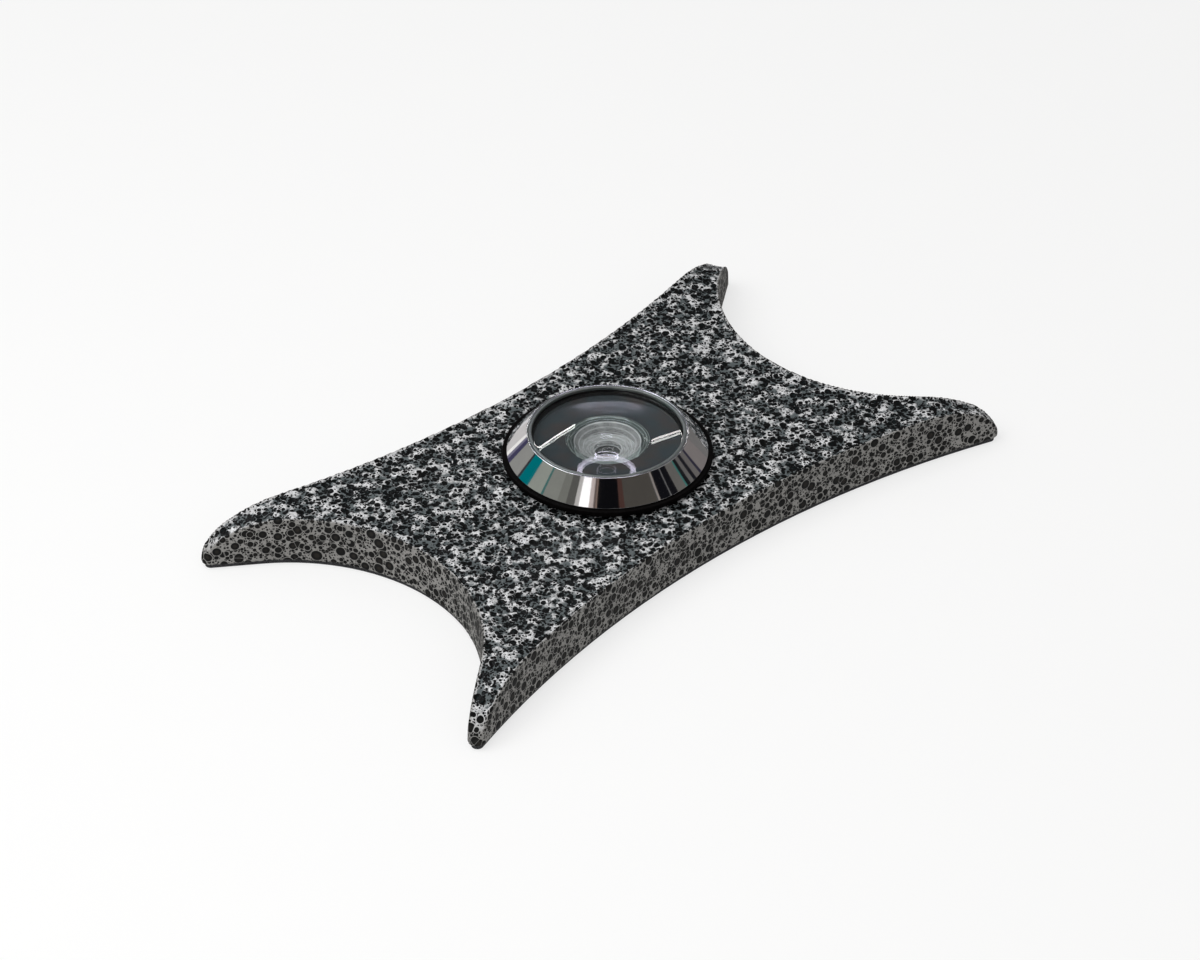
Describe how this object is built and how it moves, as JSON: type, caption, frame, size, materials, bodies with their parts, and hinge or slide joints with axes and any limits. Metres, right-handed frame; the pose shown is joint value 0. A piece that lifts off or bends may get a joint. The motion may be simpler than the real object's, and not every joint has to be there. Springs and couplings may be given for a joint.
{
  "type": "door peephole",
  "caption": "Wide-angle door viewer with a chrome head on a four-horned cast escutcheon plate, screwed together through the door, with a swinging privacy cover.",
  "frame": {"origin": "on the viewer's axis, at the door's outer face, which is the backing gasket's underside", "axes": "+Z points out of the door to the street, +X runs along the plate's long axis, and the barrels pass through the door below z = 0"},
  "size_m": [0.1016, 0.0566, 0.0627],
  "materials": {
    "speckled_enamel": "glossy hammered grey enamel with black droplets",
    "backing_foam": "fine closed-cell foam",
    "black_rubber": "satin black rubber",
    "polished_chrome": "polished chrome plate",
    "bright_rim": "fine-turned bright metal",
    "window_glass": "clear polished glass",
    "lens_glass": "polished optical glass, greenish at its ground edges",
    "baffle_black": "satin blue-black anodised",
    "spacer_plastic": "moulded black plastic",
    "ring_brass": "turned brass",
    "washer_nylon": "natural nylon",
    "satin_nickel": "satin nickel plate",
    "rivet_steel": "bright steel"
  },
  "bodies": {
    "street_side": {"escutcheon_plate": "speckled_enamel", "backing_gasket": "backing_foam", "flange_gasket": "black_rubber", "outer_barrel": "polished_chrome", "bezel_ring": "bright_rim", "front_window": "window_glass", "window_seal": "black_rubber", "light_baffle": "baffle_black", "front_lens": "lens_glass", "front_lens_spacer": "spacer_plastic", "rear_lens": "lens_glass", "rear_lens_spacer": "spacer_plastic", "lens_retaining_ring": "ring_brass"},
    "washer": {"inner_washer": "washer_nylon"},
    "eyepiece_assembly": {"inner_barrel": "satin_nickel", "field_stop": "baffle_black", "eyepiece_lens": "lens_glass", "eyepiece_retaining_ring": "ring_brass", "cover_rivet": "rivet_steel", "cover_spring_washer": "rivet_steel"},
    "cover": {"privacy_cover": "satin_nickel"}
  },
  "joints": [
    {"name": "clamp_travel", "type": "slide", "parent": "street_side", "child": "washer", "axis": [0, 0, 1], "range_m": [-0.013, 0.01]},
    {"name": "thread_turn", "type": "hinge", "parent": "washer", "child": "eyepiece_assembly", "pos_m": [0, 0, -0.045], "axis": [0, 0, 1], "range_deg": [-4680, 3600]},
    {"name": "cover_swing", "type": "hinge", "parent": "eyepiece_assembly", "child": "cover", "pos_m": [0, 0.0102, -0.049], "axis": [0, 0, 1], "range_deg": [-160, 160]}
  ],
  "couplings": [
    {"joint": "clamp_travel", "follows": "thread_turn", "m_per_rad": 0.00015915}
  ]
}
